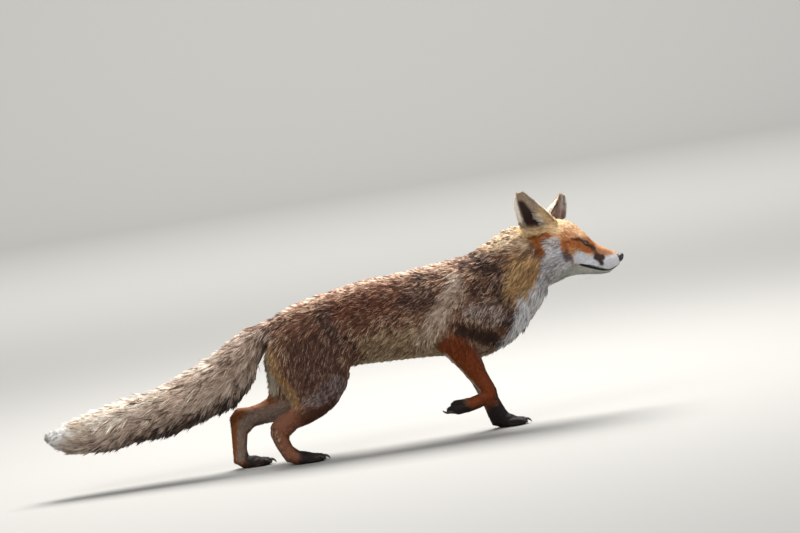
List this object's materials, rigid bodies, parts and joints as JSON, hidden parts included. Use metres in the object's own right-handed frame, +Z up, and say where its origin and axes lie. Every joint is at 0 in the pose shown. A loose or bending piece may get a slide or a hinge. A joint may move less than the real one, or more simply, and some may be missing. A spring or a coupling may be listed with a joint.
{
  "type": "red fox",
  "caption": "Life-size adult red fox striding with one forepaw lifted, its bushy tail held low behind it",
  "frame": {"origin": "on the floor, under the middle of the bounding box", "axes": "+X towards the nose, +Y to the fox's left, +Z up"},
  "size_m": [1.099, 0.156, 0.4285],
  "materials": {
    "coat_red": "dense grizzled red-brown fur",
    "coat_white": "soft white fur",
    "coat_black": "short black fur",
    "eye": "wet, clear-surfaced amber eye",
    "nose": "moist pebbled black nose leather",
    "claw": "dark horn"
  },
  "bodies": {
    "root": {"trunk": "coat_red", "neck": "coat_red", "head": "coat_red", "lower_jaw": "coat_white", "nose": "nose", "eye_right": "eye", "eye_left": "eye", "ear_right": "coat_red", "ear_left": "coat_red", "tail": "coat_red", "tail_tip": "coat_white", "thigh_right": "coat_red", "shank_right": "coat_red", "hind_foot_right": "coat_black", "thigh_left": "coat_red", "shank_left": "coat_red", "hind_foot_left": "coat_black", "shoulder_right": "coat_red", "forearm_right": "coat_red", "forepaw_right": "coat_black", "shoulder_left": "coat_red", "forearm_left": "coat_red", "forepaw_left": "coat_black", "claw_hind_foot_right_1": "claw", "claw_hind_foot_right_2": "claw", "claw_hind_foot_right_3": "claw", "claw_hind_foot_right_4": "claw", "claw_hind_foot_left_1": "claw", "claw_hind_foot_left_2": "claw", "claw_hind_foot_left_3": "claw", "claw_hind_foot_left_4": "claw", "claw_forepaw_right_1": "claw", "claw_forepaw_right_2": "claw", "claw_forepaw_right_3": "claw", "claw_forepaw_right_4": "claw", "claw_forepaw_left_1": "claw", "claw_forepaw_left_2": "claw", "claw_forepaw_left_3": "claw", "claw_forepaw_left_4": "claw"}
  },
  "joints": []
}
